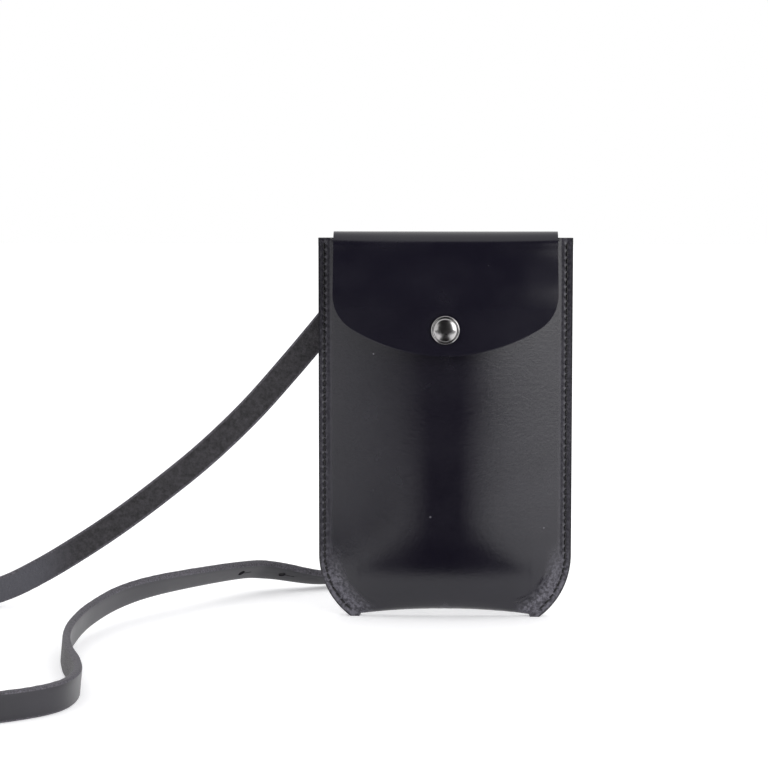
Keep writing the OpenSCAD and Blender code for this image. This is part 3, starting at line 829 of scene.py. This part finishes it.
# %% Make the back leather
fold_round = 1.8 * mm
cut_round = 0.4 * mm
touch = 0.1


def on_bottom_fold(point):
    """Tell whether a point is on the outer lower edge of the back, between the feet."""
    low = point.z < (foot_step + base_arch + touch) * mm
    outer = abs(point.y - back_high.y) < touch / 2 * mm
    return low and outer and abs(point.x) < (arch_a + touch) * mm


back_node = frame["nodes"]["back_panel"]
back = bpy.data.objects.new("back_leather", back_node.data.copy())
bpy.context.scene.collection.objects.link(back)
named(back, "back_leather")
back.data.materials.clear()
edit(back, (bpy.ops.mesh.remove_doubles, {"threshold": 0.02 * mm}),
     (bpy.ops.mesh.dissolve_limited, {"angle_limit": radians(0.6)}),
     (bpy.ops.mesh.normals_make_consistent, {"inside": False}))
only(back)
bpy.ops.object.mode_set(mode="EDIT")
bpy.ops.mesh.select_all(action="DESELECT")
bpy.ops.object.mode_set(mode="OBJECT")
for edge in back.data.edges:
    edge.select = all(on_bottom_fold(back.data.vertices[i].co) for i in edge.vertices)
bpy.ops.object.mode_set(mode="EDIT")
bpy.ops.mesh.select_mode(type="EDGE")
bpy.ops.mesh.bevel(offset=fold_round, segments=5, affect="EDGES")
bpy.ops.object.mode_set(mode="OBJECT")
back.data.materials.append(case_leather)
back.data.materials.append(pouch_edge)
modify(back, "BEVEL", width=cut_round, segments=2, limit_method="ANGLE", angle_limit=radians(60))
for face in back.data.polygons:
    face.material_index = 0 if abs(face.normal.y) > 0.5 else 1
smooth(back, 15)
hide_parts("back_panel")
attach(back, "pouch")
report(back)

# %% [markdown]
# ## Flap
# The flap carries on from the back. It rises over the mouth in half an ellipse and lies down on the dome,
# lifted a little by the press stud. It is made as one sheet, from the back over the fold and down the front.

# %% Curves of the flap
flap_corner_r = 17.5
flap_tip_r = 78
flap_gap = 0.4
flap_sag = 3
fold_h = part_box("flap_fold")[1].z / mm - hinge_z
tip_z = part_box("flap")[0].z / mm
flap_len = hinge_z - tip_z
snap_gap = 3.2
flap_cx = flap_half - flap_corner_r
flap_cz = tip_z + flap_tip_r - sqrt((flap_tip_r - flap_corner_r) ** 2 - flap_cx ** 2)
flap_turn = asin(flap_cx / (flap_tip_r - flap_corner_r))


def flap_low(x):
    """Lower edge of the flap: a shallow arc that runs into a rounder corner at each side."""
    a = abs(x)
    if a <= flap_tip_r * sin(flap_turn):
        return tip_z + flap_tip_r - sqrt(flap_tip_r ** 2 - a * a)
    return flap_cz - sqrt(max(0, flap_corner_r ** 2 - (a - flap_cx) ** 2))


def flap_inner(x, z):
    """How far the flap's inner face stands in front of the sewn seam."""
    dome = leather_t + pocket_depth * neck(z)
    lift = 1 - ease((abs(z - snap_z) - snap_seat) / (flap_len - snap_seat))
    sag = flap_sag * (max(0, abs(x) - snap_seat) / (flap_half - snap_seat)) ** 2
    return dome + flap_gap + (snap_gap - flap_gap) * lift - sag


tip_steps = 30
bend_steps = 20
fold_rows = 24
drop_rows = 62
dent_depth = 0.3
dent_w = 1.6
half_columns = [flap_tip_r * sin(flap_turn * i / tip_steps) for i in range(tip_steps + 1)]
half_columns += [flap_cx + flap_corner_r * sin(flap_turn + (pi / 2 - flap_turn) * i / bend_steps)
                 for i in range(1, bend_steps + 1)]
flap_columns = [-x for x in half_columns[:0:-1]] + half_columns


def flap_place(column, row):
    """A point of the flap's outer face, row by row from the back over the fold and down the front."""
    x = flap_columns[column]
    front_face = flap_inner(x, hinge_z)
    if row <= fold_rows:
        turn = pi * row / fold_rows
        out = front_face / 2 - (front_face / 2 + leather_t) * cos(turn)
        return Vector((x, seam_y - out, hinge_z + fold_h * sin(turn)))
    share = (row - fold_rows) / drop_rows
    z = hinge_z + (flap_low(x) - hinge_z) * share
    pressed = dent_depth * hill(hypot(x, z - snap_z) - cap_r, dent_w)
    return Vector((x, seam_y - flap_inner(x, z) - leather_t + pressed, z))


flap = shaped_grid("flap_leather", len(flap_columns) - 1, fold_rows + drop_rows, flap_place)
edit(flap, (bpy.ops.mesh.flip_normals, {}))
thicken(flap, (flap_leather, flap_edge_with_highlight), bevel=0.6)
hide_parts("flap_fold", "flap")
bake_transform(flap)
report(flap)

# %% [markdown]
# ## Stitches
# The sides are sewn with a needle thread on the front and a bobbin thread on the back. Each stitch is a short
# slanted bar, pulled into the leather at its ends. One stitch is modelled from a sphere, stretched along the
# seam, and copied along it, each copy with its own mesh. The copies of a seam are joined into one piece.

# %% Sew the seams
stitch_length = 2.7
thread_d = 0.85
slant = 5
end_dip = 0.25
thread_sink = 0.05
seam_length = seam_arc + pouch_top - corner_h - 1
stitch_count = floor(seam_length / stitch_pitch)


def seam_at(along):
    """Place on the right-hand seam and its lean in degrees, from the lowest stitch up."""
    if along < seam_arc:
        turn = seam_turn * (1 - along / seam_arc)
        return corner_x + seam_r * cos(turn), corner_h - seam_r * sin(turn), degrees(turn)
    return half_w - stitch_inset, corner_h + along - seam_arc, 0


def one_stitch(facing):
    """A stitch along Z at the origin, in millimetres, on the back (facing 1) or on the front (-1)."""
    bpy.ops.mesh.primitive_uv_sphere_add(segments=8, ring_count=8, radius=0.5)
    stitch = bpy.context.object
    stretch = stitch_length - thread_d
    for point in stitch.data.vertices:
        point.co = Vector((point.co.x * thread_d, point.co.y * thread_d,
                           point.co.z * thread_d + stretch * max(-0.5, min(0.5, point.co.z * 4))))
        point.co.y += facing * -end_dip * (point.co.z / stitch_length * 2) ** 4
    return stitch


def sew(name, node, side, y):
    """Copy one stitch along a seam on one face, and join the copies."""
    model = one_stitch(1 if y > seam_y else -1)
    copies = []
    for i in range(stitch_count):
        x, z, lean = seam_at((i + 0.5) * stitch_pitch)
        stitch = bpy.data.objects.new(name, model.data.copy())
        bpy.context.scene.collection.objects.link(stitch)
        stitch.data.transform(Matrix.Rotation(radians(side * (lean + slant)), 4, "Y"))
        stitch.data.transform(Matrix.Translation((side * x, y, z)))
        stitch.data.transform(Matrix.Diagonal((mm, mm, mm, 1)))
        copies.append(stitch)
    bpy.data.objects.remove(model)
    only(copies[0])
    for stitch in copies:
        stitch.select_set(True)
    bpy.ops.object.join()
    seam = smooth(named(bpy.context.object, name), 60)
    seam.data.materials.append(thread)
    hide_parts(node)
    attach(seam, "pouch")
    report(seam)


front_face_y = seam_y - leather_t + thread_sink
back_face_y = seam_y + leather_t - thread_sink
sew("front_stitches_left", "needle_thread_left", -1, front_face_y)
sew("front_stitches_right", "needle_thread_right", 1, front_face_y)
sew("back_stitches_left", "bobbin_thread_left", -1, back_face_y)
sew("back_stitches_right", "bobbin_thread_right", 1, back_face_y)

# %% [markdown]
# ## Cap of the press stud
# A press-stud cap is a thin dome with its rim rolled under, so a bright ring runs round a soft mirror. Its
# profile is drawn as a chain of points and spun round the cap's axis, and the doubles on the axis are merged.

# %% Spin a profile
def spun(name, profile, centre, material):
    """Spin a profile of (radius, height towards the front), in millimetres, round an axis along Y."""
    mesh = bpy.data.meshes.new(name)
    points = [Vector((radius, -height, 0)) * mm + centre for radius, height in profile]
    mesh.from_pydata(points, [(i, i + 1) for i in range(len(points) - 1)], [])
    piece = bpy.data.objects.new(name, mesh)
    bpy.context.scene.collection.objects.link(piece)
    edit(piece, (bpy.ops.mesh.spin, {"steps": 72, "angle": 2 * pi, "center": centre, "axis": (0, 1, 0)}),
         (bpy.ops.mesh.remove_doubles, {"threshold": 0.004 * mm}),
         (bpy.ops.mesh.normals_make_consistent, {"inside": False}))
    mesh.materials.append(material)
    return smooth(piece, 50)


# %% Make the cap
cap_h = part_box("snap_cap")[0].y
flap_face_y = (seam_y - flap_inner(0, snap_z) - leather_t) * mm
cap_rise = (flap_face_y - cap_h) / mm
cap_centre = Vector((0, flap_face_y, snap_z * mm))
bead = 0.62
bead_h = 0.37
hem_r = cap_r - 0.8
hem_h = 0.2
hem_sink = 0.25
dome_r = cap_r - 1.05
profile = [(0, hem_h), (hem_r, hem_h), (hem_r, -hem_sink)]
profile += [(cap_r - bead + bead * cos(radians(turn)), bead_h + bead * sin(radians(turn)))
            for turn in range(-85, 131, 15)]
profile += [(dome_r * cos(radians(turn)), bead + (cap_rise - bead) * sin(radians(turn)))
            for turn in (0, 8, 18, 30, 42, 54, 66, 78, 90)]
cap = spun("snap_cap_dome", profile, cap_centre, nickel)
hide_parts("snap_cap")
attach(cap, "flap")
report(cap)

# %% [markdown]
# ## Metal pieces from the CAD model
# The other metal pieces have their real shape already, so they keep it and only get their plating.

# %% Plate the metal pieces
plating = {nickel: ("snap_spring", "snap_stud", "rivet_cap", "collar_stud"),
           steel: ("snap_socket", "snap_post", "rivet_post", "rivet_washer", "collar_screw", "collar_washer")}
for material, names in plating.items():
    for name in names:
        node = frame["nodes"][name]
        node.data.materials.clear()
        node.data.materials.append(material)
print("plated", sum(len(names) for names in plating.values()), "metal pieces")

# %% [markdown]
# ## Studio
# The case stands on a wide white board, in soft white light from all round. Dark leather is drawn by what it
# mirrors: the bright room makes its flanks grey, and four black cards keep the middle deep. Two stand behind
# the camera, the wider one higher up for the flap, and two lie on the table: a wide one under the camera and
# a narrow one before the case, which darkens the lower front but not the strap. The cards are seen only in
# reflections. One softbox at the right lights that flank a little more than the left one. Places and sizes
# are in metres, and the softbox's power is in watts.

# %% Floor and cards
tooth_mm = 1.11
board, tree, shader = new_material("white studio board")
place = add(tree, "ShaderNodeTexCoord").outputs["Object"]
tooth = add(tree, "ShaderNodeTexNoise", {"Vector": place, "Scale": 1000 / tooth_mm, "Detail": 2.0}).outputs[0]
tree.links.new(mixed(tree, tooth, "#f6f6f7", "#fafafa"), shader.inputs["Base Color"])
shader.inputs["Roughness"].default_value = 0.9
shader.inputs["Specular IOR Level"].default_value = 0.2
shader.inputs["Emission Color"].default_value = colour("#fbfbfe")
shader.inputs["Emission Strength"].default_value = 0.28
bpy.ops.mesh.primitive_plane_add(size=9)
board_floor = named(bpy.context.object, "studio_floor")
board_floor.data.materials.append(board)

black, tree, shader = new_material("black velvet card")
shader.inputs["Base Color"].default_value = colour("#050506")
shader.inputs["Roughness"].default_value = 1
shader.inputs["Specular IOR Level"].default_value = 0


def card(name, low, high):
    """A thin black card between two corners, seen only in reflections."""
    bpy.ops.mesh.primitive_cube_add(size=1)
    piece = named(bpy.context.object, name)
    low, high = Vector(low), Vector(high)
    piece.data.transform(Matrix.Diagonal((*(high - low), 1)))
    piece.data.transform(Matrix.Translation((low + high) / 2))
    piece.data.materials.append(black)
    for sight in ("camera", "diffuse", "transmission", "volume_scatter", "shadow"):
        setattr(piece, "visible_" + sight, False)
    return piece


back_card = card("card_behind_camera", (-1.0, -2.02, 0.0), (1.0, -2.0, 3.4))
table_card = card("card_on_table", (-1.0, -2.0, 0.001), (1.0, -0.42, 0.003))
high_card = card("card_above_camera", (-1.9, -2.02, 1.1), (1.9, -2.0, 3.4))
near_card = card("card_before_the_case", (-0.075, -0.42, 0.001), (0.07, -0.035, 0.003))

# %% Light
world = bpy.data.worlds.new("white studio") if bpy.context.scene.world is None else bpy.context.scene.world
bpy.context.scene.world = world
world.use_nodes = True
world.node_tree.nodes["Background"].inputs["Color"].default_value = (1, 1, 1, 1)
world.node_tree.nodes["Background"].inputs["Strength"].default_value = 1.0


def softbox(name, place, target, width, height, power):
    """A rectangular area light at a place, turned towards a target."""
    light = bpy.data.lights.new(name, "AREA")
    light.shape = "RECTANGLE"
    light.size = width
    light.size_y = height
    light.energy = power
    lamp = bpy.data.objects.new(name, light)
    bpy.context.scene.collection.objects.link(lamp)
    lamp.location = place
    lamp.rotation_euler = (Vector(target) - Vector(place)).to_track_quat("-Z", "Y").to_euler()


softbox("softbox_right", (1.3, -1.1, 0.6), target=(0, 0, 0.08), width=1.5, height=1.4, power=15)
bpy.context.scene.view_settings.view_transform = "Standard"
bpy.context.scene.view_settings.look = "None"

# %% Finish
import json
